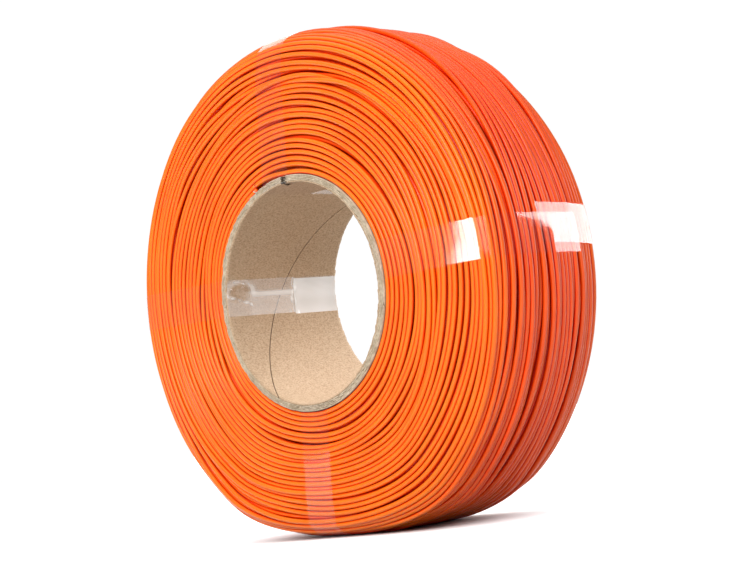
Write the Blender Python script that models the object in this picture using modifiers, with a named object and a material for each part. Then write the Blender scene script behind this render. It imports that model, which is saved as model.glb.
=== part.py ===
"""A refill roll of 3D-printer filament: filament wound on a bare paper core, tied with tape.

The roll stands on the floor like a wheel. +Z is up, the core's axis runs along Y, and the front
face looks along -Y. The origin is on the floor, under the middle of the roll. Pieces are built
around the core's axis and then lifted by AXIS_HEIGHT. All lengths are in metres.
"""

import math

import bpy

COLLECTION_NAME = "filament_refill_roll"
CUTTER_COLLECTION_NAME = "cutters"

# The core: five paper plies, each wound round the next with a helical butt seam
CORE_BORE_RADIUS = 0.0380
CORE_OUTER_RADIUS = 0.0406
CORE_WIDTH = 0.0540
PLY_NAMES = (
    "core_liner_ply",
    "core_second_ply",
    "core_middle_ply",
    "core_fourth_ply",
    "core_outer_ply",
)
PLY_GAP = 0.0002
PLY_THICKNESS = (CORE_OUTER_RADIUS - CORE_BORE_RADIUS + PLY_GAP) / len(PLY_NAMES) - PLY_GAP
SEAM_WIDTH = 0.0005
SEAM_PITCH = 0.135
SEAM_OVERRUN = 0.004
SEAM_MARGIN = 0.0005
SEAM_ROWS = 28
LINER_SEAM_ANGLE = math.radians(-80.5)
SEAM_STAGGER = math.radians(64.0)
CORE_STEPS = 60

# The notch at the top of the front rim, where the filament starts
NOTCH_ANGLE = 0.0
NOTCH_WIDTH = 0.0024
NOTCH_DEPTH = 0.0030

# The winding: a barrel-shaped ring that has sagged, and lies flat where it stands
WINDING_RADIUS = 0.0912
WINDING_WIDTH = 0.0532
SHOULDER_HEIGHT = 0.0080
SHOULDER_DEPTH = 0.0225
SHOULDER_STEPS = 7
WINDING_STEPS = 90
SAG_HEIGHT = 0.0895
SAG_BLEND = 0.0220
AXIS_HEIGHT = 0.0840
FIT_GAP = 0.0003

# The filament itself, whose first turn lies bare beside the front rim
FILAMENT_DIAMETER = 0.00175
FIRST_TURN_START = math.radians(-21.4)
FIRST_TURN_SWEEP = math.radians(-338.0)
FIRST_TURN_POINTS = 68
RABBET = FILAMENT_DIAMETER + 2 * FIT_GAP
FIRM_RADIUS = CORE_OUTER_RADIUS + FIT_GAP + RABBET

# The tape: four straps, each looped through the bore and round the winding
TAPE_WIDTH = 0.0130
TAPE_THICKNESS = 0.0002
TAPE_COLUMNS = 3
TAPE_BEND_RADIUS = 0.0006
TAPE_LAP_RISE = TAPE_THICKNESS + FIT_GAP
TAPE_ENTRY_LENGTH = 0.0030
CHANNEL_HEIGHT = 0.0015
# name, angle from the top towards +X, sideways offset, where the lap starts (share of the loop), lap
STRAPS = (
    ("tape_strap_top", math.radians(6.0), -0.0081, 0.74, 0.018),
    ("tape_strap_right", math.radians(90.0), -0.0043, 0.46, 0.026),
    ("tape_strap_bottom", math.radians(185.6), -0.0036, 0.78, 0.020),
    ("tape_strap_left", math.radians(272.1), 0.0023, 0.96, 0.022),
)


def clear_scene():
    """Remove every object, so that the script always starts from nothing."""
    for scene_object in list(bpy.data.objects):
        bpy.data.objects.remove(scene_object, do_unlink=True)


def new_collection(name, parent=None):
    """Add an empty collection to the scene, or inside another."""
    collection = bpy.data.collections.new(name)
    holder = parent or bpy.context.scene.collection
    holder.children.link(collection)
    return collection


def new_material(name, color, roughness, alpha=1.0):
    """Make a plain Principled material."""
    material = bpy.data.materials.new(name)
    material.use_nodes = True
    shader = material.node_tree.nodes["Principled BSDF"]
    shader.inputs["Base Color"].default_value = (*color, 1.0)
    shader.inputs["Roughness"].default_value = roughness
    shader.inputs["Metallic"].default_value = 0.0
    shader.inputs["Alpha"].default_value = alpha
    return material


def loose_primitive():
    """The primitive that was just added, taken out of the collection that it landed in."""
    primitive = bpy.context.object
    for collection in list(primitive.users_collection):
        collection.objects.unlink(primitive)
    return primitive


def finish_part(part, collection, material):
    """Lift a part from the axis frame to its place above the floor, and give it its material."""
    part.location.z = AXIS_HEIGHT
    part.data.materials.append(material)
    collection.objects.link(part)
    part.data.shade_smooth()
    part.data.set_sharp_from_angle(angle=math.radians(30))
    return part


def finish_cutter(cutter, collection):
    """Lift a cutter like a part, and keep it out of sight."""
    cutter.location.z = AXIS_HEIGHT
    cutter.hide_render = True
    cutter.display_type = "WIRE"
    collection.objects.link(cutter)
    return cutter


def applied(source, name):
    """Turn an object with modifiers, or a curve, into a plain mesh object."""
    scene_objects = bpy.context.scene.collection.objects
    scene_objects.link(source)
    graph = bpy.context.evaluated_depsgraph_get()
    mesh = bpy.data.meshes.new_from_object(source.evaluated_get(graph))
    bpy.data.objects.remove(source, do_unlink=True)
    return bpy.data.objects.new(name, mesh)


def turned(name, outline, steps):
    """Turn a closed outline of (radius, y) points, which runs forwards on its outside, round Y."""
    mesh = bpy.data.meshes.new(name)
    corners = [(radius, y, 0.0) for radius, y in outline]
    edges = [(i, (i + 1) % len(corners)) for i in range(len(corners))]
    mesh.from_pydata(corners, edges, [])
    source = bpy.data.objects.new(name, mesh)
    screw = source.modifiers.new("turn", "SCREW")
    screw.axis = "Y"
    screw.steps = steps
    screw.render_steps = steps
    screw.use_merge_vertices = True
    screw.merge_threshold = 0.000001
    return applied(source, name)


def cut(part, cutters):
    """Cut every solid of a collection out of a part."""
    boolean = part.modifiers.new("cut", "BOOLEAN")
    boolean.operation = "DIFFERENCE"
    boolean.solver = "EXACT"
    boolean.operand_type = "COLLECTION"
    boolean.collection = cutters


def smooth_minimum(first, second, blend):
    """The smaller of two lengths, with a rounded change where they meet."""
    overlap = max(blend - abs(first - second), 0.0)
    return min(first, second) - overlap * overlap / (4 * blend)


def outer_radius(y):
    """The winding's own radius, before it sags, at a distance from mid-width."""
    level_half = WINDING_WIDTH / 2 - SHOULDER_DEPTH
    share = min(max(abs(y) - level_half, 0.0) / SHOULDER_DEPTH, 1.0)
    return WINDING_RADIUS - SHOULDER_HEIGHT * (1 - math.sqrt(1 - share * share))


def pressed(radius, surface, limit):
    """Squeeze a radius towards the core as far as takes the surface down to a limit."""
    squeeze = min((limit - FIRM_RADIUS) / (surface - FIRM_RADIUS), 1.0)
    return FIRM_RADIUS + (radius - FIRM_RADIUS) * squeeze


def settled(x, y, z):
    """Move a point of a round winding to where it lies once the roll stands on the floor."""
    radius = math.hypot(x, z)
    downward = -z / radius
    if radius <= FIRM_RADIUS or downward <= 0.1:
        return (x, y, z)
    sagged = smooth_minimum(WINDING_RADIUS, SAG_HEIGHT / downward, SAG_BLEND)
    surface = pressed(outer_radius(y), WINDING_RADIUS, sagged)
    lowered = pressed(radius, WINDING_RADIUS, sagged)
    lowered = pressed(lowered, surface, AXIS_HEIGHT / downward)
    return (x * lowered / radius, y, z * lowered / radius)


def winding_side(inset):
    """The (radius, y) points up the front face, over the shoulder and to mid-width, inset inwards."""
    shoulder_radius = WINDING_RADIUS - SHOULDER_HEIGHT
    shoulder_y = -WINDING_WIDTH / 2 + SHOULDER_DEPTH
    points = []
    for step in range(SHOULDER_STEPS + 1):
        angle = math.radians(90) * step / SHOULDER_STEPS
        radius = shoulder_radius + (SHOULDER_HEIGHT - inset) * math.sin(angle)
        y = shoulder_y - (SHOULDER_DEPTH - inset) * math.cos(angle)
        points.append((radius, y))
    return points


def mirrored_back(front_points):
    """Carry points from the front half on to the back half, in walking order."""
    return [(radius, -y) for radius, y in reversed(front_points)]


def build_core(parts, cutters, materials):
    """The paper tube: concentric plies, each slit by its own seam, and all cut by the notch."""
    half = CORE_WIDTH / 2
    for index, name in enumerate(PLY_NAMES):
        inner = CORE_BORE_RADIUS + index * (PLY_THICKNESS + PLY_GAP)
        outer = inner + PLY_THICKNESS
        wall = [(outer, half), (outer, -half), (inner, -half), (inner, half)]
        ply = turned(name, wall, CORE_STEPS)
        ply_cutters = new_collection(name + "_cutters", cutters)
        build_seam_cutter(name + "_seam", inner, outer, index, ply_cutters)
        build_notch_cutter(name + "_notch", ply_cutters)
        cut(ply, ply_cutters)
        material = materials["liner"] if index == 0 else materials["board"]
        finish_part(ply, parts, material)


def build_seam_cutter(name, inner, outer, index, cutters):
    """A thin helical wall that runs past both ends and both faces of a ply."""
    length = CORE_WIDTH + 2 * SEAM_OVERRUN
    middle_angle = LINER_SEAM_ANGLE + index * SEAM_STAGGER
    reach = outer - inner + 2 * SEAM_MARGIN

    def place(across, forward):
        radius = inner - SEAM_MARGIN + reach * across
        y = (forward - 0.5) * length
        angle = middle_angle + 2 * math.pi * y / SEAM_PITCH
        return (radius * math.sin(angle), y, radius * math.cos(angle))

    wall = bent_grid(name, 1, SEAM_ROWS, place)
    thicken(wall, SEAM_WIDTH / 2, SEAM_WIDTH / 2)
    return finish_cutter(wall, cutters)


def build_notch_cutter(name, cutters):
    """A box through the front end of a ply."""
    bpy.ops.mesh.primitive_cube_add(size=1.0)
    box = loose_primitive()
    box.name = name
    height = 2 * (CORE_OUTER_RADIUS - CORE_BORE_RADIUS)
    middle = (CORE_OUTER_RADIUS + CORE_BORE_RADIUS) / 2
    box.scale = (NOTCH_WIDTH, 2 * NOTCH_DEPTH, height)
    box.rotation_euler.y = NOTCH_ANGLE
    finish_cutter(box, cutters)
    box.location.x = middle * math.sin(NOTCH_ANGLE)
    box.location.y = -CORE_WIDTH / 2
    box.location.z += middle * math.cos(NOTCH_ANGLE)
    return box


def build_winding(parts, cutters, material):
    """The wound filament as one ring, with a rabbet for its first turn and a channel for each strap."""
    inner = CORE_OUTER_RADIUS + FIT_GAP
    side = winding_side(0.0)
    front = -WINDING_WIDTH / 2
    rabbet = [
        (inner, front + RABBET),
        (inner + RABBET, front + RABBET),
        (inner + RABBET, front),
    ]
    outline = rabbet + side + mirrored_back(side) + [(inner, -front)]
    winding = turned("filament_winding", outline[::-1], WINDING_STEPS)
    for vertex in winding.data.vertices:
        vertex.co = settled(*vertex.co)
    channels = new_collection("winding_cutters", cutters)
    for name, angle, offset, _, _ in STRAPS:
        build_channel_cutter(name + "_channel", angle, offset, channels)
    cut(winding, channels)
    return finish_part(winding, parts, material)


def build_first_turn(parts, material):
    """The filament's bare first turn, which runs round the core from its cut end."""
    radius = CORE_OUTER_RADIUS + 2 * FIT_GAP + FILAMENT_DIAMETER / 2
    y = -WINDING_WIDTH / 2 + FILAMENT_DIAMETER / 2
    curve = bpy.data.curves.new("filament_first_turn", "CURVE")
    curve.dimensions = "3D"
    curve.bevel_depth = FILAMENT_DIAMETER / 2
    curve.bevel_resolution = 2
    curve.use_fill_caps = True
    spline = curve.splines.new("POLY")
    spline.points.add(FIRST_TURN_POINTS - 1)
    for index, point in enumerate(spline.points):
        angle = FIRST_TURN_START + FIRST_TURN_SWEEP * index / (FIRST_TURN_POINTS - 1)
        point.co = (radius * math.sin(angle), y, radius * math.cos(angle), 1.0)
    turn = bpy.data.objects.new("filament_first_turn", curve)
    turn.location.z = AXIS_HEIGHT
    curve.materials.append(material)
    parts.objects.link(turn)
    return turn


def tape_side():
    """The tape's inner face from the middle of the bore to mid-width outside, at the front."""
    bore = CORE_BORE_RADIUS - FIT_GAP
    rim = -CORE_WIDTH / 2 - FIT_GAP
    face = winding_side(FIT_GAP)
    entry = (FIRM_RADIUS + TAPE_ENTRY_LENGTH, face[0][1])
    middle_of_face = ((entry[0] + face[0][0]) / 2, face[0][1])
    bend = []
    for step in range(4):
        angle = math.radians(30) * step
        radius = bore + TAPE_BEND_RADIUS * (1 - math.cos(angle))
        y = rim + TAPE_BEND_RADIUS * (1 - math.sin(angle))
        bend.append((radius, y))
    return [(bore, 0.0), (bore, rim / 2)] + bend + [(FIRM_RADIUS, rim), entry, middle_of_face] + face


def along(path, distance):
    """The point of a closed (radius, y) path at a distance along it, and the direction there."""
    lengths = [math.dist(path[i], path[(i + 1) % len(path)]) for i in range(len(path))]
    distance %= sum(lengths)
    for index, length in enumerate(lengths):
        if distance <= length:
            break
        distance -= length
    start = path[index]
    end = path[(index + 1) % len(path)]
    share = distance / length
    point = [start[axis] + (end[axis] - start[axis]) * share for axis in (0, 1)]
    direction = [(end[axis] - start[axis]) / length for axis in (0, 1)]
    return point, direction


def lapped_path(lap_share, lap_length):
    """A strap's path: once round the loop, then over its own start."""
    side = tape_side()
    loop = side + [(radius, -y) for radius, y in reversed(side)][:-1]
    corners = [0.0]
    for index in range(len(loop)):
        corners.append(corners[-1] + math.dist(loop[index], loop[(index + 1) % len(loop)]))
    total = corners[-1]
    start = lap_share * total
    ramp = 4 * TAPE_LAP_RISE
    stops = [start, start + lap_length, start + total - ramp, start + total]
    stops.append(start + total + lap_length)
    stops += [corner for corner in corners if start < corner < start + total - ramp]
    stops += [corner + total for corner in corners if start < corner + total < start + total - ramp]
    stops += [corner + total for corner in corners if start < corner < start + lap_length]
    stops += [corner + 2 * total for corner in corners if corner + total < start + lap_length]
    path = []
    for stop in sorted(set(round(value, 6) for value in stops)):
        point, direction = along(loop, stop)
        rise = TAPE_LAP_RISE * min(max((stop - start - total + ramp) / ramp, 0.0), 1.0)
        # the loop keeps the roll on its left, so the tape rises to its right
        path.append((point[0] + direction[1] * rise, point[1] - direction[0] * rise))
    return path


def bent_grid(name, columns, rows, place):
    """Bend a flat grid: place(across, along) gives each point, both running from 0 to 1."""
    bpy.ops.mesh.primitive_grid_add(x_subdivisions=columns, y_subdivisions=rows, size=1.0)
    grid = loose_primitive()
    grid.name = name
    grid.data.name = name
    for vertex in grid.data.vertices:
        vertex.co = place(vertex.co.x + 0.5, vertex.co.y + 0.5)
    return grid


def tape_strip(name, path, width, angle, offset):
    """A strip of tape along a (radius, y) path, at an angle round the axis."""
    rows = len(path) - 1

    def place(across, forward):
        radius, y = path[round(forward * rows)]
        sideways = (across - 0.5) * width + offset
        outward = math.sqrt(radius * radius - sideways * sideways)
        x = sideways * math.cos(angle) + outward * math.sin(angle)
        z = outward * math.cos(angle) - sideways * math.sin(angle)
        return settled(x, y, z)

    return bent_grid(name, TAPE_COLUMNS, rows, place)


def thicken(strip, outside, inside):
    """Give an open strip a body that reaches a distance out of each of its faces."""
    solidify = strip.modifiers.new("thickness", "SOLIDIFY")
    solidify.thickness = outside + inside
    solidify.offset = (outside - inside) / (outside + inside)
    solidify.use_even_offset = True
    return strip


def build_channel_cutter(name, angle, offset, cutters):
    """The cutter that sinks a strap into the winding's faces and outside."""
    side = [point for point in tape_side() if point[0] > CORE_OUTER_RADIUS]
    rim_y = side[0][1]
    side.insert(0, (CORE_OUTER_RADIUS - FIT_GAP, rim_y))
    path = side + mirrored_back(side)
    strip = tape_strip(name, path, TAPE_WIDTH + 2 * FIT_GAP, angle, offset)
    thicken(strip, CHANNEL_HEIGHT, FIT_GAP)
    return finish_cutter(strip, cutters)


def build_strap(name, angle, offset, lap_share, lap_length, parts, material):
    """One strap of clear tape, whose second end lies over its first."""
    path = lapped_path(lap_share, lap_length)
    strip = tape_strip(name, path, TAPE_WIDTH, angle, offset)
    thicken(strip, TAPE_THICKNESS, 0.0)
    return finish_part(strip, parts, material)


def main():
    clear_scene()
    parts = new_collection(COLLECTION_NAME)
    cutters = new_collection(CUTTER_COLLECTION_NAME)
    liner = new_material("kraft_liner", (0.56, 0.40, 0.27), 0.85)
    board = new_material("grey_board", (0.50, 0.40, 0.31), 0.90)
    filament = new_material("orange_filament", (0.90, 0.16, 0.02), 0.35)
    tape = new_material("clear_tape", (0.92, 0.90, 0.88), 0.12, alpha=0.30)
    build_core(parts, cutters, {"liner": liner, "board": board})
    build_winding(parts, cutters, filament)
    build_first_turn(parts, filament)
    for name, angle, offset, lap_share, lap_length in STRAPS:
        build_strap(name, angle, offset, lap_share, lap_length, parts, tape)


main()
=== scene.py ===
"""The looks of the filament refill roll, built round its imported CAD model.

The winding is rebuilt from single strands: three layers of turns are laid out round the roll,
relaxed so that they lie beside and on each other, and settled on the floor as the CAD ring is.
The tape is stretched over them, and the paper core gets its cut rim, its grain and its seam.
Pieces are worked out round the core's axis, in metres: +Z is up and the front looks along -Y.
Angles run from the top towards +X. Points of the winding's section are (radius, y).
"""

import math

import bpy
import numpy as np
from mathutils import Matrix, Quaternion, Vector


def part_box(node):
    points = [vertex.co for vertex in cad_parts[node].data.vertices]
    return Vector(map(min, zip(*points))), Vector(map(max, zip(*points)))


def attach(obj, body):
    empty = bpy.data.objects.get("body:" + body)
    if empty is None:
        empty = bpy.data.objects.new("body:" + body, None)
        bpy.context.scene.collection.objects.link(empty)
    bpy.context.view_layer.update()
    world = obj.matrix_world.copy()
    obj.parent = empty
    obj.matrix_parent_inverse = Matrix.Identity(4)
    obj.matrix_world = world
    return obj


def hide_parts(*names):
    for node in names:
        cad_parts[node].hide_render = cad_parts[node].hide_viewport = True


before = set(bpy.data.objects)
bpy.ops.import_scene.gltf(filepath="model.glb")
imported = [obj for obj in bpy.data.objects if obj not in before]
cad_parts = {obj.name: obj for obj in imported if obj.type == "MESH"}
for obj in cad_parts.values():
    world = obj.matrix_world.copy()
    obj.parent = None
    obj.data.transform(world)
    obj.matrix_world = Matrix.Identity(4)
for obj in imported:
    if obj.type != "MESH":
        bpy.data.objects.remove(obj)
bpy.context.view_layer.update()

# Sizes that the frame gives
core_low, core_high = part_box("core_outer_ply")
winding_low, winding_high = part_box("filament_winding")
turn_low, turn_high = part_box("filament_first_turn")
AXIS_HEIGHT = (core_low.z + core_high.z) / 2
CORE_OUTER_RADIUS = (core_high.x - core_low.x) / 2
CORE_HALF_WIDTH = (core_high.y - core_low.y) / 2
WINDING_RADIUS = (winding_high.x - winding_low.x) / 2
WINDING_HALF_WIDTH = (winding_high.y - winding_low.y) / 2
STRAND_DIAMETER = turn_high.y - turn_low.y
STRAND_RADIUS = STRAND_DIAMETER / 2
FIRST_TURN_RADIUS = turn_high.x - STRAND_RADIUS
FIRST_TURN_Y = (turn_high.y + turn_low.y) / 2

# The core, as the CAD model has it
CORE_BORE_RADIUS = 0.0380
PLY_NAMES = (
    "core_liner_ply",
    "core_second_ply",
    "core_middle_ply",
    "core_fourth_ply",
    "core_outer_ply",
)
SEAM_PITCH = 0.135
LINER_SEAM_ANGLE = math.radians(-80.5)
SEAM_STAGGER = math.radians(64.0)
NOTCH_WIDTH = 0.0024
NOTCH_DEPTH = 0.0030

# The core's finer look: the glue between plies, the seams, the mesh, the torn scrap on the rim
GLUE_LINE = 0.00006
SEAM_GAP = 0.00080
PLY_COLUMNS = 432
PLY_ROWS = 48
RAGGED_EDGE = 0.00009
FLAKE_START_RADIUS = 0.0396
FLAKE_LENGTH = 0.0018
FLAKE_WIDTH = 0.0004
FLAKE_THICKNESS = 0.00012

# The winding's round shape and how it has settled, as the CAD model has them
SHOULDER_HEIGHT = 0.0080
SHOULDER_DEPTH = 0.0225
SAG_HEIGHT = 0.0895
SAG_BLEND = 0.0220
FIT_GAP = 0.0003
FIRM_RADIUS = FIRST_TURN_RADIUS + STRAND_RADIUS + FIT_GAP

# A direction that looks down less steeply than this can't reach the floor
LEAST_DOWNWARD = 0.1

# The strands
TURN_SECTIONS = 150
TURNS = 72
LAYERS = 3
LAYER_STEP = 0.00150
STRAND_SIDES = 9
START_ANGLE = math.radians(-21.4)
START_RADIUS = CORE_OUTER_RADIUS + STRAND_RADIUS + 0.00005
FIRST_STEP = 1.08 * STRAND_DIAMETER
RELAXING_ROUNDS = 120
STIFFNESS = 0.3
PULL_BACK = 0.01
SEED = 11

# How the strands stray. The first turns lie as rings, with a late jog to the next. Later ones drift
# together and wander singly, by shares of a turn's own width. Some sink in, the more so on the
# outside, and the straps dent them
RING_TURNS = 5
JOG_SHARE = 0.15
DRIFT = 0.50
WANDER = 0.26
SINKING_DEPTH = 0.0008
OUTSIDE_SINKING = 1.3
OUTSIDE_RADIUS = 0.0843
FACE_DENT = 0.00022
DENT_HALF_ANGLE = math.radians(8.0)

# The flats that the straps pull across the winding's corners: their slope, and where they start
FLAT_SLOPE = math.radians(14.0)
FLAT_START = 0.0788

# Where the outer turns have spread apart: angle and half-length in degrees, y, opening in turns
FURROWS = (
    (122.0, 34.0, -0.0057, 3.0),
    (62.0, 20.0, 0.0060, 1.5),
    (34.0, 26.0, -0.0120, 1.2),
    (-25.0, 30.0, 0.0100, 1.4),
    (-96.0, 24.0, -0.0030, 1.6),
    (-150.0, 26.0, 0.0150, 1.3),
    (165.0, 22.0, 0.0020, 1.4),
)

# The tape, laid along rays from the middle of the roll's section. Each strap has its angle, its
# sideways offset, where round the section it starts and how far it goes with its lap, and its skew.
# Angles are in degrees
TAPE_WIDTH = 0.0130
TAPE_THICKNESS = 0.00006
TAPE_CLEARANCE = 0.00005
TAPE_COLUMNS = 17
TAPE_RAYS = 480
RIM_ROUNDING = 0.0003
SECTION_MIDDLE = np.array([(CORE_BORE_RADIUS + WINDING_RADIUS) / 2, 0.0])
STRAPS = {
    "tape_strap_top": (6.0, -0.0081, 76.0, 388.0, 0.0004),
    "tape_strap_right": (90.0, -0.0043, 26.3, -399.1, -0.0028),
    "tape_strap_bottom": (185.6, -0.0036, 78.0, 386.0, 0.0005),
    "tape_strap_left": (272.1, 0.0023, 118.0, 411.0, -0.0004),
}

# The left strap where it runs through the bore: (y, sideways) places and sizes of what can be seen
BLISTER_PLACE = (-0.0210, 0.0020)
BLISTER_SIZE = (0.0062, 0.0038)
BLISTER_LIFT = 0.0020
STREAK_PLACE = 0.0013
STREAK_WIDTH = 0.0009
LOOSE_START_Y = -0.0170
LOOSE_END_Y = 0.0262
LOOSE_LIFT = 0.00025
FILM_END_Y = 0.0050
CREASE_WIDTH = 0.0009
CREASE_LIFT = 0.00020

# The camera, about the middle of the core's axis
CAMERA_DISTANCE = 0.600
CAMERA_AZIMUTH = math.radians(45.2)
CAMERA_ELEVATION = math.radians(-4.5)
CAMERA_ROLL = math.radians(-8.0)
CAMERA_LENS = 81.8
CAMERA_SHIFT = (0.0269, 0.0108)

# The studio: how bright the surround looks, is mirrored and lights, the daylight, the softboxes
SURROUND_WHITE = 1.02
SURROUND_MIRRORED = 0.34
SURROUND_LIGHT = 0.22
DAYLIGHT = 1.5
DAYLIGHT_SPREAD = math.radians(90)
FLOOR_LIGHT = 7.4
FLOOR_LIGHT_TILT = math.radians(24)
FLOOR_LIGHT_SPREAD = math.radians(165)
FLOOR_LIGHT_AZIMUTH = math.radians(225)
FLOOR_BOUNCE = 0.35
# name, azimuth and elevation in degrees, distance, size, brightness, the pieces that it lights, and
# for a light that only glints on them, False
SOFTBOXES = (
    ("softbox_front", 22.0, 24.0, 1.6, (0.8, 1.0), 9.4, "roll"),
    ("glare_front_left", -27.6, 7.0, 1.5, (0.585, 0.65), 36.0, "film"),
    ("glare_back_right", 158.0, 9.0, 1.5, (1.25, 1.05), 10.5, "film"),
    ("glare_top", -121.0, 35.0, 1.5, (1.2, 0.8), 5.0, "film"),
    ("sheen_back_right", 150.0, 12.0, 1.5, (0.80, 0.75), 5.0, "winding", False),
    ("glint_bore", 140.0, 30.0, 1.5, (0.9, 0.5), 7.5, "bore_film"),
    ("softbox_bore", 175.0, 35.0, 1.5, (1.0, 1.0), 10.5, "core"),
)


# ---------------------------------------------------------------- materials


def new_material(name):
    """A node material, its tree and its Principled shader."""
    material = bpy.data.materials.new(name)
    material.use_nodes = True
    return material, material.node_tree, material.node_tree.nodes["Principled BSDF"]


def noise_texture(tree, scale, detail=3.0, roughness=0.5, stretch=(1, 1, 1)):
    """A noise texture in the object's own space, stretched along its axes."""
    coordinates = tree.nodes.new("ShaderNodeTexCoord")
    mapping = tree.nodes.new("ShaderNodeMapping")
    mapping.inputs["Scale"].default_value = stretch
    texture = tree.nodes.new("ShaderNodeTexNoise")
    texture.inputs["Scale"].default_value = scale
    texture.inputs["Detail"].default_value = detail
    texture.inputs["Roughness"].default_value = roughness
    tree.links.new(coordinates.outputs["Object"], mapping.inputs["Vector"])
    tree.links.new(mapping.outputs["Vector"], texture.inputs["Vector"])
    return texture


def color_ramp(tree, source, stops):
    """A colour ramp over a texture's value: stops are (position, colour)."""
    ramp = tree.nodes.new("ShaderNodeValToRGB")
    elements = ramp.color_ramp.elements
    while len(elements) < len(stops):
        elements.new(0.5)
    for element, (position, color) in zip(elements, stops):
        element.position = position
        element.color = (*color, 1.0)
    tree.links.new(source, ramp.inputs["Fac"])
    return ramp.outputs["Color"]


def openness(tree, distance):
    """How open the surface is around each point, up to a distance: 1 out in the open. The materials
    darken their colours by it as painted shade.
    """
    occlusion = tree.nodes.new("ShaderNodeAmbientOcclusion")
    occlusion.samples = 32
    occlusion.inputs["Distance"].default_value = distance
    return occlusion.outputs["AO"]


def tenfold_radius(tree):
    """Ten times the distance from the core's axis, in metres."""
    coordinates = tree.nodes.new("ShaderNodeTexCoord")
    section = tree.nodes.new("ShaderNodeMapping")
    section.inputs["Location"].default_value = (0.0, 0.0, -10 * AXIS_HEIGHT)
    section.inputs["Scale"].default_value = (10.0, 0.0, 10.0)
    length = tree.nodes.new("ShaderNodeVectorMath")
    length.operation = "LENGTH"
    tree.links.new(coordinates.outputs["Object"], section.inputs["Vector"])
    tree.links.new(section.outputs["Vector"], length.inputs[0])
    return length.outputs["Value"]


def multiply(tree, first, second):
    """The product of two colours."""
    mix = tree.nodes.new("ShaderNodeMix")
    mix.data_type = "RGBA"
    mix.blend_type = "MULTIPLY"
    mix.inputs["Factor"].default_value = 1.0
    tree.links.new(first, mix.inputs["A"])
    tree.links.new(second, mix.inputs["B"])
    return mix.outputs["Result"]


def add_bump(tree, shader, height, strength, distance):
    """Bump a shader's normal by a texture's value."""
    bump = tree.nodes.new("ShaderNodeBump")
    bump.inputs["Strength"].default_value = strength
    bump.inputs["Distance"].default_value = distance
    tree.links.new(height, bump.inputs["Height"])
    tree.links.new(bump.outputs["Normal"], shader.inputs["Normal"])


def filament_material():
    """Satin orange plastic, with painted shade: redder on the outside of the winding, and redder and
    darker down in the grooves between strands.
    """
    material, tree, shader = new_material("filament_orange")
    mottle = noise_texture(tree, 55.0, detail=2.0)
    color = color_ramp(
        tree,
        mottle.outputs["Fac"],
        ((0.35, (0.92, 0.165, 0.004)), (0.65, (0.97, 0.195, 0.006))),
    )
    # Painted shade: the colour is darkened and reddened where strands hem the surface in, down in the
    # grooves.
    depth = color_ramp(
        tree,
        openness(tree, STRAND_DIAMETER),
        (
            (0.08, (0.50, 0.02, 0.01)),
            (0.30, (0.92, 0.16, 0.08)),
            (0.55, (1, 0.42, 0.25)),
            (0.88, (1, 1, 1)),
        ),
    )
    # Painted shade: the outer cylinder of the winding is coloured redder.
    outside = color_ramp(tree, tenfold_radius(tree), ((0.855, (1, 1, 1)), (0.905, (0.92, 0.50, 0.72))))
    tree.links.new(multiply(tree, multiply(tree, color, depth), outside), shader.inputs["Base Color"])
    grain = noise_texture(tree, 160.0, detail=2.0)
    roughness = tree.nodes.new("ShaderNodeMapRange")
    roughness.inputs["To Min"].default_value = 0.26
    roughness.inputs["To Max"].default_value = 0.35
    tree.links.new(grain.outputs["Fac"], roughness.inputs["Value"])
    tree.links.new(roughness.outputs["Result"], shader.inputs["Roughness"])
    shader.inputs["Specular IOR Level"].default_value = 0.32
    shader.inputs["Subsurface Weight"].default_value = 0.15
    shader.inputs["Subsurface Scale"].default_value = 0.001
    shader.inputs["Subsurface Radius"].default_value = (1.0, 0.2, 0.05)
    return material


def kraft_material():
    """Brown kraft paper: fine mottled fibre, with darker and paler flecks, and painted shade darkening
    the seam gap and other recesses.
    """
    material, tree, shader = new_material("kraft_paper")
    fibre = noise_texture(tree, 1250.0, detail=5.0, roughness=0.6)
    flecks = noise_texture(tree, 2600.0, detail=3.0, roughness=0.6, stretch=(1, 0.45, 1))
    cloud = noise_texture(tree, 26.0, detail=3.0)
    base = color_ramp(
        tree,
        fibre.outputs["Fac"],
        ((0.28, (0.53, 0.365, 0.235)), (0.52, (0.59, 0.425, 0.285)), (0.76, (0.66, 0.50, 0.355))),
    )
    fleck = color_ramp(tree, flecks.outputs["Fac"], ((0.34, (0.68, 0.63, 0.57)), (0.56, (1, 1, 1))))
    shade = color_ramp(tree, cloud.outputs["Fac"], ((0.3, (0.93, 0.92, 0.90)), (0.7, (1, 1, 1))))
    mixed = multiply(tree, multiply(tree, base, fleck), shade)
    # Painted shade: darkens the paper where it is hemmed in, as in the seam gap.
    seam = color_ramp(tree, openness(tree, 0.0012), ((0.25, (0.22, 0.18, 0.15)), (0.48, (1, 1, 1))))
    tree.links.new(multiply(tree, mixed, seam), shader.inputs["Base Color"])
    shader.inputs["Roughness"].default_value = 0.82
    shader.inputs["Specular IOR Level"].default_value = 0.25
    add_bump(tree, shader, fibre.outputs["Fac"], 0.35, 0.00012)
    return material


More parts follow.
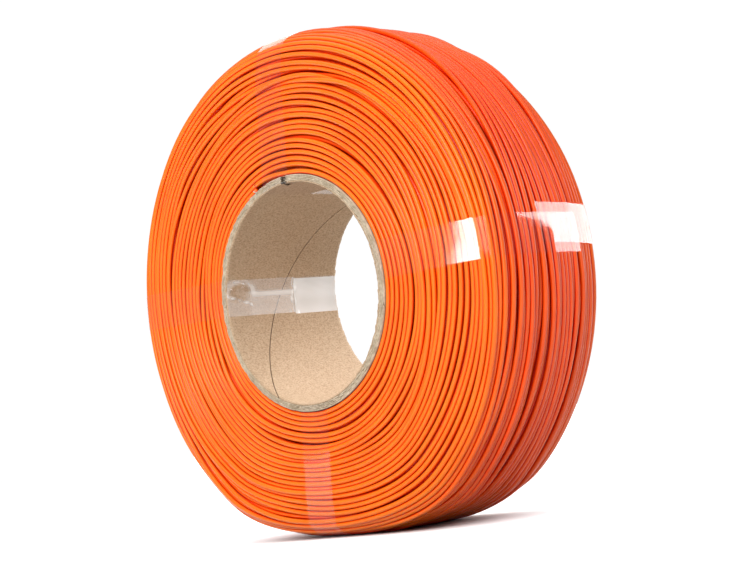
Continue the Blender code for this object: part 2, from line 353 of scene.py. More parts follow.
def board_material(name, dark, pale):
    """Grey chipboard: coarse pressed fibre, as a cut edge shows it, with painted shade darkening its
    cracks and recesses.
    """
    material, tree, shader = new_material(name)
    fibre = noise_texture(tree, 900.0, detail=6.0, roughness=0.7)
    lumps = noise_texture(tree, 240.0, detail=3.0)
    base = color_ramp(tree, fibre.outputs["Fac"], ((0.32, dark), (0.68, pale)))
    shade = color_ramp(tree, lumps.outputs["Fac"], ((0.35, (0.80, 0.78, 0.75)), (0.6, (1, 1, 1))))
    # Painted shade: darkens the board where it is hemmed in, in cracks, at ply edges and in recesses.
    painted_crevice_shade = color_ramp(tree, openness(tree, 0.0006), ((0.2, (0.45, 0.40, 0.33)), (0.7, (1, 1, 1))))
    tree.links.new(multiply(tree, multiply(tree, base, shade), painted_crevice_shade), shader.inputs["Base Color"])
    shader.inputs["Roughness"].default_value = 0.92
    shader.inputs["Specular IOR Level"].default_value = 0.15
    add_bump(tree, shader, fibre.outputs["Fac"], 0.6, 0.00025)
    return material


def tape_material():
    """Clear film: see-through, with a mirror-like face, and milky as far as its point attribute says,
    which also carries a painted glint.
    """
    material = bpy.data.materials.new("clear_film")
    material.use_nodes = True
    tree = material.node_tree
    tree.nodes.remove(tree.nodes["Principled BSDF"])
    clear = tree.nodes.new("ShaderNodeBsdfTransparent")
    clear.inputs["Color"].default_value = (0.985, 0.98, 0.985, 1.0)
    haze = tree.nodes.new("ShaderNodeBsdfDiffuse")
    haze.inputs["Color"].default_value = (0.90, 0.89, 0.88, 1.0)
    gloss = tree.nodes.new("ShaderNodeBsdfGlossy")
    gloss.inputs["Color"].default_value = (1.0, 1.0, 1.0, 1.0)
    gloss.inputs["Roughness"].default_value = 0.05
    streaks = noise_texture(tree, 70.0, detail=3.0)
    milk = tree.nodes.new("ShaderNodeMapRange")
    milk.inputs["From Min"].default_value = 0.35
    milk.inputs["From Max"].default_value = 0.65
    milk.inputs["To Min"].default_value = 0.0
    milk.inputs["To Max"].default_value = 0.0015
    milk_and_painted_glint = tree.nodes.new("ShaderNodeAttribute")
    milk_and_painted_glint.attribute_name = "milk_and_painted_glint"
    milkiness = tree.nodes.new("ShaderNodeMath")
    body = tree.nodes.new("ShaderNodeMixShader")
    edge_on = tree.nodes.new("ShaderNodeLayerWeight")
    edge_on.inputs["Blend"].default_value = 0.02
    mirror = tree.nodes.new("ShaderNodeMapRange")
    mirror.inputs["To Min"].default_value = 0.004
    surface = tree.nodes.new("ShaderNodeMixShader")
    tree.links.new(streaks.outputs["Fac"], milk.inputs["Value"])
    tree.links.new(milk.outputs["Result"], milkiness.inputs[0])
    tree.links.new(milk_and_painted_glint.outputs["Fac"], milkiness.inputs[1])
    tree.links.new(milkiness.outputs["Value"], body.inputs["Fac"])
    tree.links.new(clear.outputs["BSDF"], body.inputs[1])
    tree.links.new(haze.outputs["BSDF"], body.inputs[2])
    tree.links.new(edge_on.outputs["Facing"], mirror.inputs["Value"])
    tree.links.new(mirror.outputs["Result"], surface.inputs["Fac"])
    tree.links.new(body.outputs["Shader"], surface.inputs[1])
    tree.links.new(gloss.outputs["BSDF"], surface.inputs[2])
    tree.links.new(surface.outputs["Shader"], tree.nodes["Material Output"].inputs["Surface"])
    return material


def film_edge_material():
    """The film's cut edge, which catches a little light."""
    material = bpy.data.materials.new("film_edge")
    material.use_nodes = True
    tree = material.node_tree
    tree.nodes.remove(tree.nodes["Principled BSDF"])
    clear = tree.nodes.new("ShaderNodeBsdfTransparent")
    light = tree.nodes.new("ShaderNodeBsdfDiffuse")
    light.inputs["Color"].default_value = (0.95, 0.92, 0.92, 1.0)
    streaks = noise_texture(tree, 120.0, detail=3.0)
    share = tree.nodes.new("ShaderNodeMapRange")
    share.inputs["From Min"].default_value = 0.3
    share.inputs["From Max"].default_value = 0.7
    share.inputs["To Min"].default_value = 0.01
    share.inputs["To Max"].default_value = 0.05
    surface = tree.nodes.new("ShaderNodeMixShader")
    tree.links.new(streaks.outputs["Fac"], share.inputs["Value"])
    tree.links.new(share.outputs["Result"], surface.inputs["Fac"])
    tree.links.new(clear.outputs["BSDF"], surface.inputs[1])
    tree.links.new(light.outputs["BSDF"], surface.inputs[2])
    tree.links.new(surface.outputs["Shader"], tree.nodes["Material Output"].inputs["Surface"])
    return material


def floor_material():
    """Matt cool-white studio board, which throws only part of its light back on to the roll."""
    material, tree, shader = new_material("studio_white")
    tint = noise_texture(tree, 3.0, detail=2.0)
    color = color_ramp(tree, tint.outputs["Fac"], ((0.3, (0.88, 0.93, 0.94)), (0.7, (0.90, 0.95, 0.96))))
    tree.links.new(color, shader.inputs["Base Color"])
    shader.inputs["Roughness"].default_value = 0.9
    shader.inputs["Specular IOR Level"].default_value = 0.1
    path = tree.nodes.new("ShaderNodeLightPath")
    dimming = tree.nodes.new("ShaderNodeMath")
    dimming.operation = "MULTIPLY"
    dimming.inputs[1].default_value = 1 - FLOOR_BOUNCE
    dark = tree.nodes.new("ShaderNodeBsdfDiffuse")
    dark.inputs["Color"].default_value = (0.02, 0.02, 0.02, 1.0)
    surface = tree.nodes.new("ShaderNodeMixShader")
    tree.links.new(path.outputs["Is Diffuse Ray"], dimming.inputs[0])
    tree.links.new(dimming.outputs["Value"], surface.inputs["Fac"])
    tree.links.new(shader.outputs["BSDF"], surface.inputs[1])
    tree.links.new(dark.outputs["BSDF"], surface.inputs[2])
    tree.links.new(surface.outputs["Shader"], tree.nodes["Material Output"].inputs["Surface"])
    return material


# ---------------------------------------------------------------- meshes


def mesh_object(name, points, faces, material):
    """A smooth-shaded object from points round the core's axis."""
    lifted = np.asarray(points, float).reshape(-1, 3) + (0.0, 0.0, AXIS_HEIGHT)
    mesh = bpy.data.meshes.new(name)
    mesh.from_pydata(lifted.tolist(), [], [list(face) for face in faces])
    mesh.materials.append(material)
    mesh.shade_smooth()
    piece = bpy.data.objects.new(name, mesh)
    bpy.context.scene.collection.objects.link(piece)
    return piece


def grid_faces(rows, columns, wrap=False):
    """Quads between the points of a grid, laid out row by row."""
    across = columns if wrap else columns - 1
    row, column = np.meshgrid(np.arange(rows - 1), np.arange(across), indexing="ij")
    after = (column + 1) % columns
    corners = (
        row * columns + column,
        row * columns + after,
        (row + 1) * columns + after,
        (row + 1) * columns + column,
    )
    return np.stack(corners, axis=-1).reshape(-1, 4)


def unit(vectors):
    """Vectors brought to length one."""
    return vectors / np.linalg.norm(vectors, axis=-1, keepdims=True)


def tube(name, path, material):
    """A strand along a path, with flat ends."""
    ahead = unit(np.gradient(path, axis=0))
    sideways = unit(np.cross(ahead, np.cross((0.0, 1.0, 0.0), ahead)))
    outward = np.cross(ahead, sideways)
    around = np.linspace(0, 2 * math.pi, STRAND_SIDES, endpoint=False)[None, :, None]
    rings = path[:, None] + STRAND_RADIUS * (
        np.cos(around) * sideways[:, None] + np.sin(around) * outward[:, None]
    )
    faces = grid_faces(len(path), STRAND_SIDES, wrap=True)[:, ::-1].tolist()
    last = (len(path) - 1) * STRAND_SIDES
    faces.append(list(range(STRAND_SIDES)))
    faces.append([last + side for side in reversed(range(STRAND_SIDES))])
    return mesh_object(name, rings, faces, material)


def show(piece, slot, *nodes):
    """Let a piece ride on the roll and stand for its CAD nodes."""
    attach(piece, "root")
    if nodes:
        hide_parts(*nodes)
    return piece


# ---------------------------------------------------------------- the winding's shape


def eased(share):
    """A share from 0 to 1, with a gentle start and end."""
    share = np.clip(share, 0.0, 1.0)
    return share * share * (3 - 2 * share)


def smooth_minimum(first, second, blend):
    """The smaller of two lengths, with a rounded change where they meet."""
    overlap = np.maximum(blend - np.abs(first - second), 0.0)
    return np.minimum(first, second) - overlap * overlap / (4 * blend)


def outer_radius(y):
    """The winding's own radius, before it sags, at a distance from mid-width."""
    level_half = WINDING_HALF_WIDTH - SHOULDER_DEPTH
    share = np.clip((np.abs(y) - level_half) / SHOULDER_DEPTH, 0.0, 1.0)
    return WINDING_RADIUS - SHOULDER_HEIGHT * (1 - np.sqrt(1 - share * share))


def pressed(radius, surface, limit):
    """Squeeze a radius towards the core as far as takes the surface down to a limit."""
    squeeze = np.minimum((limit - FIRM_RADIUS) / (surface - FIRM_RADIUS), 1.0)
    return np.where(radius > FIRM_RADIUS, FIRM_RADIUS + (radius - FIRM_RADIUS) * squeeze, radius)


def sagged_radius(downward):
    """How far the winding reaches in a direction, once it has sagged."""
    return smooth_minimum(WINDING_RADIUS, SAG_HEIGHT / np.maximum(downward, LEAST_DOWNWARD), SAG_BLEND)


def settled(points):
    """Move points of the round winding to where they lie once the roll stands on the floor."""
    radius = np.hypot(points[..., 0], points[..., 2])
    downward = -points[..., 2] / radius
    sagged = np.where(downward > LEAST_DOWNWARD, sagged_radius(downward), WINDING_RADIUS)
    surface = pressed(outer_radius(points[..., 1]), WINDING_RADIUS, sagged)
    lowered = pressed(radius, WINDING_RADIUS, sagged)
    floor_reach = AXIS_HEIGHT / np.maximum(downward, LEAST_DOWNWARD)
    lowered = pressed(lowered, surface, np.where(downward > LEAST_DOWNWARD, floor_reach, 1.0))
    share = lowered / radius
    return points * np.stack([share, np.ones_like(share), share], axis=-1)


def layer_profile(inset):
    """The (radius, y) line that the turns of a layer cross, from the front to the back."""
    rise = np.linspace(0, math.pi / 2, 40)
    shoulder_radius = WINDING_RADIUS - SHOULDER_HEIGHT
    shoulder_y = SHOULDER_DEPTH - WINDING_HALF_WIDTH
    radius = shoulder_radius + (SHOULDER_HEIGHT - inset) * np.sin(rise)
    y = shoulder_y - (SHOULDER_DEPTH - inset) * np.cos(rise)
    front_start = (START_RADIUS + FIRST_STEP, y[0])
    back_end = (CORE_OUTER_RADIUS + FIT_GAP + STRAND_RADIUS, -y[0])
    front = np.vstack([front_start, np.column_stack([radius, y])])
    back = np.vstack([np.column_stack([radius, -y])[::-1], back_end])
    return np.vstack([front, back])


def place_on_profile(profile, share, depth):
    """Points a share of the way along a profile, sunk into it by a depth."""
    lengths = np.concatenate([[0.0], np.cumsum(np.linalg.norm(np.diff(profile, axis=0), axis=1))])
    distance = np.clip(share, 0.0, 1.0) * lengths[-1]
    points = np.stack([np.interp(distance, lengths, profile[:, axis]) for axis in (0, 1)], axis=-1)
    ahead = np.stack(
        [np.interp(distance, lengths, np.gradient(profile[:, axis], lengths)) for axis in (0, 1)],
        axis=-1,
    )
    inward = unit(np.stack([-ahead[..., 1], ahead[..., 0]], axis=-1))
    return points + depth[..., None] * inward


def chain_noise(rng, knots_per_turn):
    """Smooth random values of about unit size along the whole length of a layer's strand."""
    count = TURNS * knots_per_turn + 2
    knots = rng.normal(size=count)
    position = np.arange(TURNS * TURN_SECTIONS) * knots_per_turn / TURN_SECTIONS
    low = position.astype(int)
    blend = eased(position - low)
    return (knots[low] * (1 - blend) + knots[low + 1] * blend).reshape(TURNS, TURN_SECTIONS)


def drift_field(rng, share, turn_angle):
    """A smooth sideways drift that neighbouring turns have in common."""
    field = np.zeros_like(share)
    for waves_round in (1, 2, 2, 3, 4, 5):
        waves_across = rng.uniform(3, 11)
        field += np.sin(waves_round * turn_angle + 2 * math.pi * (waves_across * share + rng.random()))
    return field / math.sqrt(3)


def section_angle(section):
    """The angle from the top of a section, for the way that the filament is wound."""
    return START_ANGLE - 2 * math.pi * section / TURN_SECTIONS


def strap_cover(turn_angle):
    """Where the straps press the turns in: 1 under a strap and 0 away from it."""
    cover = np.zeros_like(turn_angle)
    for angle, offset, _, _, _ in STRAPS.values():
        away = START_ANGLE - turn_angle - math.radians(angle) - offset / WINDING_RADIUS
        away = (away + math.pi) % (2 * math.pi) - math.pi
        cover = np.maximum(cover, np.exp(-((away / DENT_HALF_ANGLE) ** 4)))
    return cover


def spreading(turn_angle, y):
    """How far the furrows move the outer turns along the profile, in turns."""
    moved = np.zeros_like(turn_angle)
    for middle, half_length, place, opening in FURROWS:
        along = np.degrees(START_ANGLE - turn_angle) - middle
        along = ((along + 180) % 360 - 180) / half_length
        across = (y - place) / STRAND_DIAMETER
        moved += 0.5 * opening * np.tanh(4 * across) * np.exp(-np.abs(across) / 6 - along**4)
    return moved


def press_flat(points, inset, cover):
    """Press the winding's corners in as far as the flats that the straps pull across them."""
    radius, y = points[..., 0], points[..., 1]
    over = (radius - FLAT_START) * math.sin(FLAT_SLOPE)
    over += (np.abs(y) - WINDING_HALF_WIDTH + inset) * math.cos(FLAT_SLOPE)
    over = np.maximum(over, 0.0) * cover
    inward = (over * math.sin(FLAT_SLOPE), over * math.cos(FLAT_SLOPE) * np.sign(y))
    return points - np.stack(inward, axis=-1)


def laid_turns():
    """Where each layer's turns would lie: (layer, turn, section) to (radius, y)."""
    rng = np.random.default_rng(SEED)
    turn, section = np.meshgrid(np.arange(TURNS), np.arange(TURN_SECTIONS), indexing="ij")
    turn_angle = 2 * math.pi * section / TURN_SECTIONS
    around = section / TURN_SECTIONS
    ring = np.clip(1 - turn / RING_TURNS, 0.0, 1.0)
    advance = around + ring * (eased((around - 1 + JOG_SHARE) / JOG_SHARE) - around)
    cover = strap_cover(turn_angle)
    layers = []
    for layer in range(LAYERS):
        share = (turn + advance + 0.5 * (layer % 2)) / TURNS
        inset = STRAND_RADIUS + layer * LAYER_STEP
        profile = layer_profile(inset)
        wander = DRIFT * drift_field(rng, share, turn_angle) + WANDER * chain_noise(rng, 7)
        wander *= np.clip(turn / 4, 0.05, 1.0)
        radius, y = np.moveaxis(place_on_profile(profile, share, np.zeros_like(share)), -1, 0)
        if layer == 0:
            wander += spreading(turn_angle, y)
        sinking = np.maximum(chain_noise(rng, 5) - 0.75, 0.0) + 0.25 * np.abs(chain_noise(rng, 9))
        sinking *= 1 + OUTSIDE_SINKING * eased((radius - OUTSIDE_RADIUS) / 0.006)
        depth = SINKING_DEPTH * sinking + FACE_DENT * cover
        placed = place_on_profile(profile, share + wander / TURNS, depth)
        layers.append(press_flat(placed, inset, cover))
    return np.stack(layers)


def push_apart(first, second, flatness):
    """Move two lots of turns out of each other where they overlap."""
    gap = second - first
    gap[..., 0] *= flatness
    distance = np.maximum(np.linalg.norm(gap, axis=-1, keepdims=True), 1e-7)
    move = gap * (0.25 * np.maximum(STRAND_DIAMETER / distance - 1, 0.0))
    move[..., 0] /= flatness
    first -= move
    second += move


def relaxed_turns():
    """Lay the turns and let them push each other aside, while each strand stays smooth."""
    target = laid_turns()
    turns = target.copy()
    downward = -np.cos(section_angle(np.arange(TURN_SECTIONS)))
    sagged = np.where(downward > LEAST_DOWNWARD, sagged_radius(downward), WINDING_RADIUS)
    flatness = (sagged - FIRM_RADIUS) / (WINDING_RADIUS - FIRM_RADIUS)
    pairs = [(layer, layer, step) for layer in range(LAYERS) for step in (1, 2)]
    pairs += [(a, b, step) for a in range(LAYERS) for b in range(LAYERS) if a != b for step in (1, 2)]
    pairs += [(a, b, 0) for a in range(LAYERS) for b in range(a + 1, LAYERS)]
    innermost = CORE_OUTER_RADIUS + STRAND_RADIUS
    for _ in range(RELAXING_ROUNDS):
        for first, second, step in pairs:
            push_apart(turns[first, : TURNS - step], turns[second, step:], flatness)
        strands = turns.reshape(LAYERS, TURNS * TURN_SECTIONS, 2)
        bend = strands[:, :-2] + strands[:, 2:] - 2 * strands[:, 1:-1]
        strands[:, 1:-1] += STIFFNESS * bend
        turns += PULL_BACK * (target - turns)
        turns[..., 0] = np.maximum(turns[..., 0], innermost)
    return turns


def strand_paths():
    """The three layers' strands as lines in space, settled on the floor."""
    turns = relaxed_turns()
    angle = section_angle(np.tile(np.arange(TURN_SECTIONS), TURNS))
    paths = []
    for layer in turns.reshape(LAYERS, TURNS * TURN_SECTIONS, 2):
        radius, y = layer[:, 0], layer[:, 1]
        path = settled(np.column_stack([radius * np.sin(angle), y, radius * np.cos(angle)]))
        path[:, 2] = np.maximum(path[:, 2], STRAND_RADIUS - AXIS_HEIGHT)
        paths.append(path)
    return paths


def first_turn_path(next_point):
    """From the cut end once round the core, and out to where the next turn starts."""
    share = np.linspace(0.0, 1.0, TURN_SECTIONS + 1)
    angle = START_ANGLE - 2 * math.pi * share
    step = eased((share - 0.93) / 0.07)
    next_radius = math.hypot(next_point[0], next_point[2])
    radius = START_RADIUS + (next_radius - START_RADIUS) * step
    y = FIRST_TURN_Y + (next_point[1] - FIRST_TURN_Y) * step
    return np.column_stack([radius * np.sin(angle), y, radius * np.cos(angle)])


def build_hidden_ring(material):
    """The inside of the winding, which only the deepest gaps between strands let through."""
    inset = STRAND_RADIUS + (LAYERS - 0.45) * LAYER_STEP
    profile = layer_profile(inset)
    inner = CORE_OUTER_RADIUS + 0.0002
    outline = np.vstack([(inner, profile[0, 1]), profile[::4], profile[-1], (inner, -profile[0, 1])])
    angle = np.linspace(0, 2 * math.pi, TURN_SECTIONS, endpoint=False)[None, :]
    radius, y = outline[:, 0][:, None], outline[:, 1][:, None]
    points = np.stack(np.broadcast_arrays(radius * np.sin(angle), y, radius * np.cos(angle)), axis=-1)
    rows = len(outline)
    faces = grid_faces(rows + 1, TURN_SECTIONS, wrap=True) % (rows * TURN_SECTIONS)
    return mesh_object("filament_inside", settled(points), faces.tolist(), material)


def build_winding(paths, material):
    """The strands of the three outer layers, the first turn, and the plain inside."""
    pieces = []
    names = ("filament_outer_turns", "filament_second_turns", "filament_third_turns")
    for index, (name, path) in enumerate(zip(names, paths)):
        nodes = ("filament_winding",) if index == 0 else ()
        pieces.append(show(tube(name, path, material), "filament", *nodes))
    first_turn = tube("filament_start", first_turn_path(paths[0][0]), material)
    pieces.append(show(first_turn, "filament", "filament_first_turn"))
    pieces.append(show(build_hidden_ring(material), "filament"))
    return pieces


# ---------------------------------------------------------------- the tape


def convex_hull(points):
    """The corners of the smallest convex outline round some points, in order."""
    ordered = sorted(map(tuple, points))

    def half(sequence):
        chain = []
        for point in sequence:
            while len(chain) > 1:
                (ax, ay), (bx, by) = chain[-2], chain[-1]
                if (bx - ax) * (point[1] - ay) - (by - ay) * (point[0] - ax) > 0:
                    break
                chain.pop()
            chain.append(point)
        return chain[:-1]

    return np.array(half(ordered) + half(reversed(ordered)))


def crossings(paths, forward, sideways, offset):
    """Where the strands pass a sideways offset on the strap's side: (outward, y) points."""
    found = []
    for path in paths:
        across = path @ sideways - offset
        outward = path @ forward
        here = np.flatnonzero((across[:-1] * across[1:] <= 0) & (outward[:-1] > 0))
        share = across[here] / (across[here] - across[here + 1])
        point = path[here] + (path[here + 1] - path[here]) * share[:, None]
        found.append(np.column_stack([point @ forward, point[:, 1]]))
    return np.vstack(found)


def taut_line(paths, forward, sideways, offset, rays):
    """The film's line round the roll's section at a sideways offset: a distance for each ray."""
    strands = crossings(paths[:1], forward, sideways, offset)
    reach = STRAND_RADIUS + TAPE_CLEARANCE
    around = np.linspace(0, 2 * math.pi, 24, endpoint=False)
    circle = reach * np.column_stack([np.cos(around), np.sin(around)])
    touched = (strands[:, None] + circle[None]).reshape(-1, 2)
    rim = CORE_HALF_WIDTH + TAPE_CLEARANCE
    bore = math.sqrt((CORE_BORE_RADIUS - TAPE_CLEARANCE) ** 2 - offset**2)
    outer = math.sqrt(CORE_OUTER_RADIUS**2 - offset**2)
    corners = ((bore, rim - RIM_ROUNDING), (bore + RIM_ROUNDING, rim), (outer, rim))
    both_ends = [(radius, side * y) for radius, y in corners for side in (-1, 1)]
    hull = convex_hull(np.vstack([touched, both_ends]))
    edge = np.roll(hull, -1, axis=0) - hull
    normal = unit(np.column_stack([edge[:, 1], -edge[:, 0]]))
    height = np.sum(normal * (hull - SECTION_MIDDLE), axis=1)
    facing = rays @ normal.T
    facing = np.where(facing > 1e-6, facing, 1e-6)
    return np.min(height[None] / facing, axis=1)


def bore_wear_and_glint(y, across):
    """How the left strap's film lies in the bore: its lift off the core, and its milkiness, which also
    holds a painted glint line below the blister.
    """
    rng = np.random.default_rng(SEED)
    crumple = sum(
        np.sin(rng.uniform(900, 2600) * y + rng.uniform(-1800, 1800) * across + rng.uniform(0, 6))
        for _ in range(7)
    )
    ripple = np.sin(420 * y + 900 * across) * np.sin(1300 * across + 260 * y + 1.0)
    beside = across - BLISTER_PLACE[1]
    away = np.hypot((y - BLISTER_PLACE[0]) / BLISTER_SIZE[0], beside / BLISTER_SIZE[1])
    blister = 1 - eased((away - 0.45) / 0.55)
    rim = np.exp(-(((away - 1.0) / 0.30) ** 2)) * eased((beside + 0.0014) / 0.0016)
    rim = rim * (0.8 + 0.2 * np.sin(900 * y + 500 * across))
    # Painted glint: a thin bright line below the blister, added to the milkiness.
    glint = np.exp(-(((across - 0.0006 + 0.27 * (y + 0.0260)) / 0.0003) ** 2)) * (y < -0.0150)
    crease = np.exp(-(((y - FILM_END_Y - 0.0004 * crumple) / CREASE_WIDTH) ** 2))
    doubled = eased((y - FILM_END_Y) / 0.0004)
    loose = eased((y - LOOSE_START_Y) / 0.0030) * (1 - doubled)
    streak = np.exp(-(((across - STREAK_PLACE) / STREAK_WIDTH) ** 4))
    lift = BLISTER_LIFT * blister + LOOSE_LIFT * loose + CREASE_LIFT * crease
    lift = lift + 0.00006 * crumple * crease + 0.00008 * ripple * (loose + doubled)
    low_side = eased((0.0010 - across) / 0.0010)
    cloud = 1 + 0.12 * np.sin(210 * y + 340 * across) * np.sin(160 * y - 420 * across + 2.0)
    milk = loose * (0.06 + 0.38 * streak) + (1 - doubled) * 0.17 * low_side * cloud + 0.36 * rim
    milk = milk + doubled * 0.52 * cloud + 0.30 * crease
    return np.maximum(lift, 0.0), np.clip(milk * (1 - 0.9 * blister) + 0.5 * glint, 0.0, 0.85)


def loosened(section, direction, across, upper):
    """The left strap's film as it lies loose in the bore, and how milky it is there, with a painted
    glint.
    """
    in_bore = upper & (section[:, 0] < CORE_BORE_RADIUS)
    lift, milk = bore_wear_and_glint(section[:, 1], across)
    lift = np.where(in_bore, lift, 0.0) * eased((LOOSE_END_Y - np.abs(section[:, 1])) / 0.002)
    return section + direction * lift[:, None], np.where(in_bore, milk, 0.0)


def strap_axes(angle):
    """The way out from the core's axis at an angle, and the way sideways there."""
    forward = np.array([math.sin(angle), 0.0, math.cos(angle)])
    sideways = np.array([math.cos(angle), 0.0, -math.sin(angle)])
    return forward, sideways


def sample(table, rows, row_values, places):
    """Read a table between its rows, and between its columns, which close on themselves."""
    row = np.clip((row_values - rows[0]) / (rows[1] - rows[0]), 0, len(rows) - 1.001)
    low_row = row.astype(int)
    row_blend = row - low_row
    low = places.astype(int)
    blend = places - low
    after = (low + 1) % table.shape[1]
    near = table[low_row, low] * (1 - blend) + table[low_row, after] * blend
    far = table[low_row + 1, low] * (1 - blend) + table[low_row + 1, after] * blend
    return near * (1 - row_blend) + far * row_blend


def film_object(name, points, faces, milk_and_painted_glint, materials):
    """A strip of film with its thickness, its cut edges and how milky it is at each point, a painted
    glint included.
    """
    film, edge = materials
    strip = mesh_object(name, points, faces.tolist(), film)
    strip.data.materials.append(edge)
    attribute = strip.data.attributes.new("milk_and_painted_glint", "FLOAT", "POINT")
    attribute.data.foreach_set("value", milk_and_painted_glint.ravel().astype(np.float32))
    strip.visible_shadow = False
    solidify = strip.modifiers.new("thickness", "SOLIDIFY")
    solidify.thickness = TAPE_THICKNESS
    solidify.offset = 1.0
    solidify.material_offset_rim = 1
    sharp_edges = strip.modifiers.new("sharp edges", "EDGE_SPLIT")
    sharp_edges.split_angle = math.radians(60)
    return strip


def build_strap(name, paths, materials):
    """A strip of film once round the section and over its own start."""
    degrees, offset, start, sweep_degrees, skew = STRAPS[name]
    forward, sideways = strap_axes(math.radians(degrees))
    ray_angle = np.linspace(0, 2 * math.pi, TAPE_RAYS, endpoint=False)
    rays = np.column_stack([np.cos(ray_angle), np.sin(ray_angle)])
    columns = np.linspace(-0.5, 0.5, TAPE_COLUMNS) * TAPE_WIDTH
    margin = 1.2 * abs(skew) + 0.0002
    tracks = np.linspace(-0.5, 0.5, TAPE_COLUMNS + 2) * (TAPE_WIDTH + 2 * margin)
    reach = np.stack([taut_line(paths, forward, sideways, offset + track, rays) for track in tracks])
    sweep = np.radians(start + np.linspace(0.0, sweep_degrees, TAPE_RAYS + 40))
    progress = np.abs(sweep - sweep[0]) / (2 * math.pi)
    rise = 2 * TAPE_THICKNESS * np.clip((progress - 0.97) / 0.03, 0.0, 1.0)
    direction = np.column_stack([np.cos(sweep), np.sin(sweep)])
    place = (sweep / (2 * math.pi) * TAPE_RAYS) % TAPE_RAYS
    upper = progress > progress[-1] - 1.0
    points = []
    milk_and_painted_glint = []
    for column in columns:
        shift = column + skew * progress**2
        distance = sample(reach, tracks, shift, place) + rise
        section = SECTION_MIDDLE + direction * distance[:, None]
        milk = np.zeros_like(distance)
        if name == "tape_strap_left":
            section, milk = loosened(section, direction, column, upper)
        milk_and_painted_glint.append(milk)
        sideways_part = np.outer(offset + shift, sideways)
        points.append(section[:, :1] * forward + section[:, 1:] * (0.0, 1.0, 0.0) + sideways_part)
    grid = np.stack(points, axis=1)
    faces = grid_faces(len(sweep), TAPE_COLUMNS)
    if sweep_degrees < 0:
        faces = faces[:, ::-1]
    strap = film_object(name + "_film", grid, faces, np.stack(milk_and_painted_glint, axis=1), materials)
    return show(strap, "clear_tape", name)


# ---------------------------------------------------------------- the core


def build_ply(index, name, material):
    """One paper ply: a strip wound in a helix, whose edges meet at the seam."""
    thickness = (CORE_OUTER_RADIUS - CORE_BORE_RADIUS) / len(PLY_NAMES)
    inner = CORE_BORE_RADIUS + index * thickness
    rng = np.random.default_rng(SEED + index)
    across = np.linspace(0.0, 1.0, PLY_COLUMNS)
    forward = np.linspace(-1.0, 1.0, PLY_ROWS)
    open_share = 1 - SEAM_GAP / (2 * math.pi * inner)
    end = CORE_HALF_WIDTH - 0.00012 * rng.random()
    ragged = RAGGED_EDGE * np.convolve(rng.normal(size=PLY_COLUMNS + 2), (0.5, 1, 0.5), "valid")
    y = end * forward[:, None] + ragged[None, :] * forward[:, None] ** 31
    seam = LINER_SEAM_ANGLE + index * SEAM_STAGGER + 2 * math.pi * y / SEAM_PITCH
    angle = seam + 2 * math.pi * open_share * across[None, :]
    from_notch = (angle[0] + math.pi) % (2 * math.pi) - math.pi
    notched = np.abs(from_notch) * inner < NOTCH_WIDTH / 2
    y = y + NOTCH_DEPTH * notched[None, :] * (1 - forward[:, None]) / 2
    points = np.stack([inner * np.sin(angle), y, inner * np.cos(angle)], axis=-1)
    faces = grid_faces(PLY_ROWS, PLY_COLUMNS)
    ply = mesh_object(name + "_paper", points, faces.tolist(), material)
    solidify = ply.modifiers.new("thickness", "SOLIDIFY")
    solidify.thickness = thickness - GLUE_LINE
    solidify.offset = 1.0
    return show(ply, "kraft_liner" if index == 0 else "core_board", name)


def build_torn_flake():
    """The scrap of torn paper that stands up from the rim beside the filament's cut end."""
    rows, columns = 9, 4
    along, width = np.meshgrid(
        np.linspace(0.0, 1.0, rows), np.linspace(-0.5, 0.5, columns) * FLAKE_WIDTH, indexing="ij"
    )
    radius = FLAKE_START_RADIUS + FLAKE_LENGTH * along
    angle = START_ANGLE + 0.012 * np.sin(5 * along) + width / radius
    y = -CORE_HALF_WIDTH - 0.0001 - 0.0007 * along * (1 - along) + 0.3 * width * np.sin(9 * along)
    points = np.stack([radius * np.sin(angle), y, radius * np.cos(angle)], axis=-1)
    paper = board_material("torn_paper", (0.55, 0.47, 0.37), (0.82, 0.74, 0.63))
    flake = mesh_object("torn_flake", points, grid_faces(rows, columns).tolist(), paper)
    solidify = flake.modifiers.new("thickness", "SOLIDIFY")
    solidify.thickness = FLAKE_THICKNESS
    solidify.offset = 0.0
    return show(flake, "core_board")


def build_core():
    """The five plies, a kraft liner inside four of grey board, and a scrap torn from the rim."""
    kraft = kraft_material()
    board = board_material("grey_board", (0.45, 0.355, 0.25), (0.72, 0.60, 0.445))
    plies = [build_ply(index, name, board if index else kraft) for index, name in enumerate(PLY_NAMES)]
    return [*plies, build_torn_flake()]


# ---------------------------------------------------------------- the studio


def build_floor():
    """A wide plain floor."""
    bpy.ops.mesh.primitive_circle_add(vertices=96, radius=6.0, fill_type="NGON")
    floor = bpy.context.object
    floor.name = "studio_floor"
    floor.data.materials.append(floor_material())
    return floor


def build_softbox(name, azimuth, elevation, distance, size, brightness, receivers, soft=True):
    """A softbox that looks at the roll from an azimuth and elevation, in degrees."""
    data = bpy.data.lights.new(name, "AREA")
    data.shape = "RECTANGLE"
    data.size, data.size_y = size
    data.energy = brightness * math.pi * size[0] * size[1]
    light = bpy.data.objects.new(name, data)
    turn, rise = math.radians(azimuth), math.radians(elevation)
    middle = np.array([0.0, 0.0, AXIS_HEIGHT])
    back = np.array([math.sin(turn) * math.cos(rise), -math.cos(turn) * math.cos(rise), math.sin(rise)])
    light.location = middle + back * distance
    light.rotation_euler = (math.pi / 2 - rise, 0.0, turn)
    light.light_linking.receiver_collection = bpy.data.collections[receivers]
    light.visible_diffuse = soft
    bpy.context.scene.collection.objects.link(light)


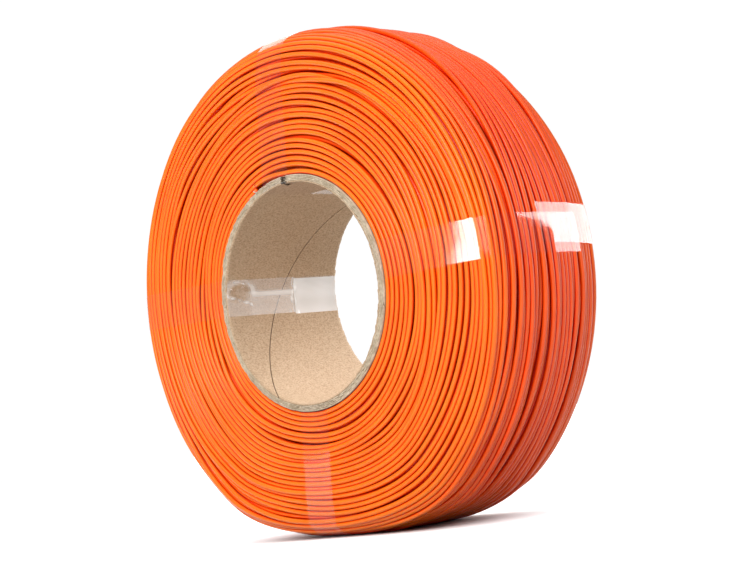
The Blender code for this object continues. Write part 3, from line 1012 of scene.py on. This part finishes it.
def build_daylight(name, strength, receivers, spread, tilt=0.0, azimuth=0.0):
    """Soft light from above, or tilted off the upright towards an azimuth."""
    data = bpy.data.lights.new(name, "SUN")
    data.energy = strength
    data.angle = spread
    light = bpy.data.objects.new(name, data)
    light.rotation_euler = (tilt, 0.0, azimuth)
    light.light_linking.receiver_collection = bpy.data.collections[receivers]
    bpy.context.scene.collection.objects.link(light)


def build_world():
    """An even white surround, which looks brighter than it lights."""
    world = bpy.data.worlds.new("studio")
    world.use_nodes = True
    bpy.context.scene.world = world
    tree = world.node_tree
    background = tree.nodes["Background"]
    background.inputs["Color"].default_value = (1.0, 1.0, 1.0, 1.0)
    path = tree.nodes.new("ShaderNodeLightPath")
    levels = []
    for ray, level in (("Is Camera Ray", SURROUND_WHITE), ("Is Glossy Ray", SURROUND_MIRRORED)):
        strength = tree.nodes.new("ShaderNodeMapRange")
        strength.inputs["To Min"].default_value = SURROUND_LIGHT
        strength.inputs["To Max"].default_value = level
        tree.links.new(path.outputs[ray], strength.inputs["Value"])
        levels.append(strength.outputs["Result"])
    brighter = tree.nodes.new("ShaderNodeMath")
    brighter.operation = "MAXIMUM"
    tree.links.new(levels[0], brighter.inputs[0])
    tree.links.new(levels[1], brighter.inputs[1])
    tree.links.new(brighter.outputs["Value"], background.inputs["Strength"])


def build_camera():
    """The camera, a little below the core's axis and leaning to one side."""
    data = bpy.data.cameras.new("camera")
    data.lens = CAMERA_LENS
    data.sensor_width = 36.0
    data.shift_x, data.shift_y = CAMERA_SHIFT
    data.clip_start = 0.01
    data.clip_end = 50.0
    camera = bpy.data.objects.new("camera", data)
    flat = CAMERA_DISTANCE * math.cos(CAMERA_ELEVATION)
    back = Vector(
        (
            flat * math.sin(CAMERA_AZIMUTH),
            -flat * math.cos(CAMERA_AZIMUTH),
            CAMERA_DISTANCE * math.sin(CAMERA_ELEVATION),
        )
    )
    camera.location = back + Vector((0.0, 0.0, AXIS_HEIGHT))
    lean = Quaternion((0.0, 0.0, 1.0), CAMERA_ROLL)
    camera.rotation_mode = "QUATERNION"
    camera.rotation_quaternion = back.to_track_quat("Z", "Y") @ lean
    bpy.context.scene.collection.objects.link(camera)
    bpy.context.scene.camera = camera


def collect(name, pieces):
    """A named collection of some pieces, which a light can be kept to."""
    collection = bpy.data.collections.new(name)
    bpy.context.scene.collection.children.link(collection)
    for piece in pieces:
        collection.objects.link(piece)


def main():
    bpy.context.scene.view_settings.view_transform = "Standard"
    build_camera()
    build_world()
    collect("floor", [build_floor()])
    paths = strand_paths()
    winding = build_winding(paths, filament_material())
    core = build_core()
    materials = (tape_material(), film_edge_material())
    straps = {name: build_strap(name, paths, materials) for name in STRAPS}
    collect("roll", [*winding, *core, *straps.values()])
    collect("winding", winding)
    collect("core", core)
    collect("bore_film", [straps.pop("tape_strap_left")])
    collect("film", straps.values())
    build_daylight("daylight", DAYLIGHT, "roll", DAYLIGHT_SPREAD)
    way = (FLOOR_LIGHT_SPREAD, FLOOR_LIGHT_TILT, FLOOR_LIGHT_AZIMUTH)
    build_daylight("floor_light", FLOOR_LIGHT, "floor", *way)
    for softbox in SOFTBOXES:
        build_softbox(*softbox)


main()
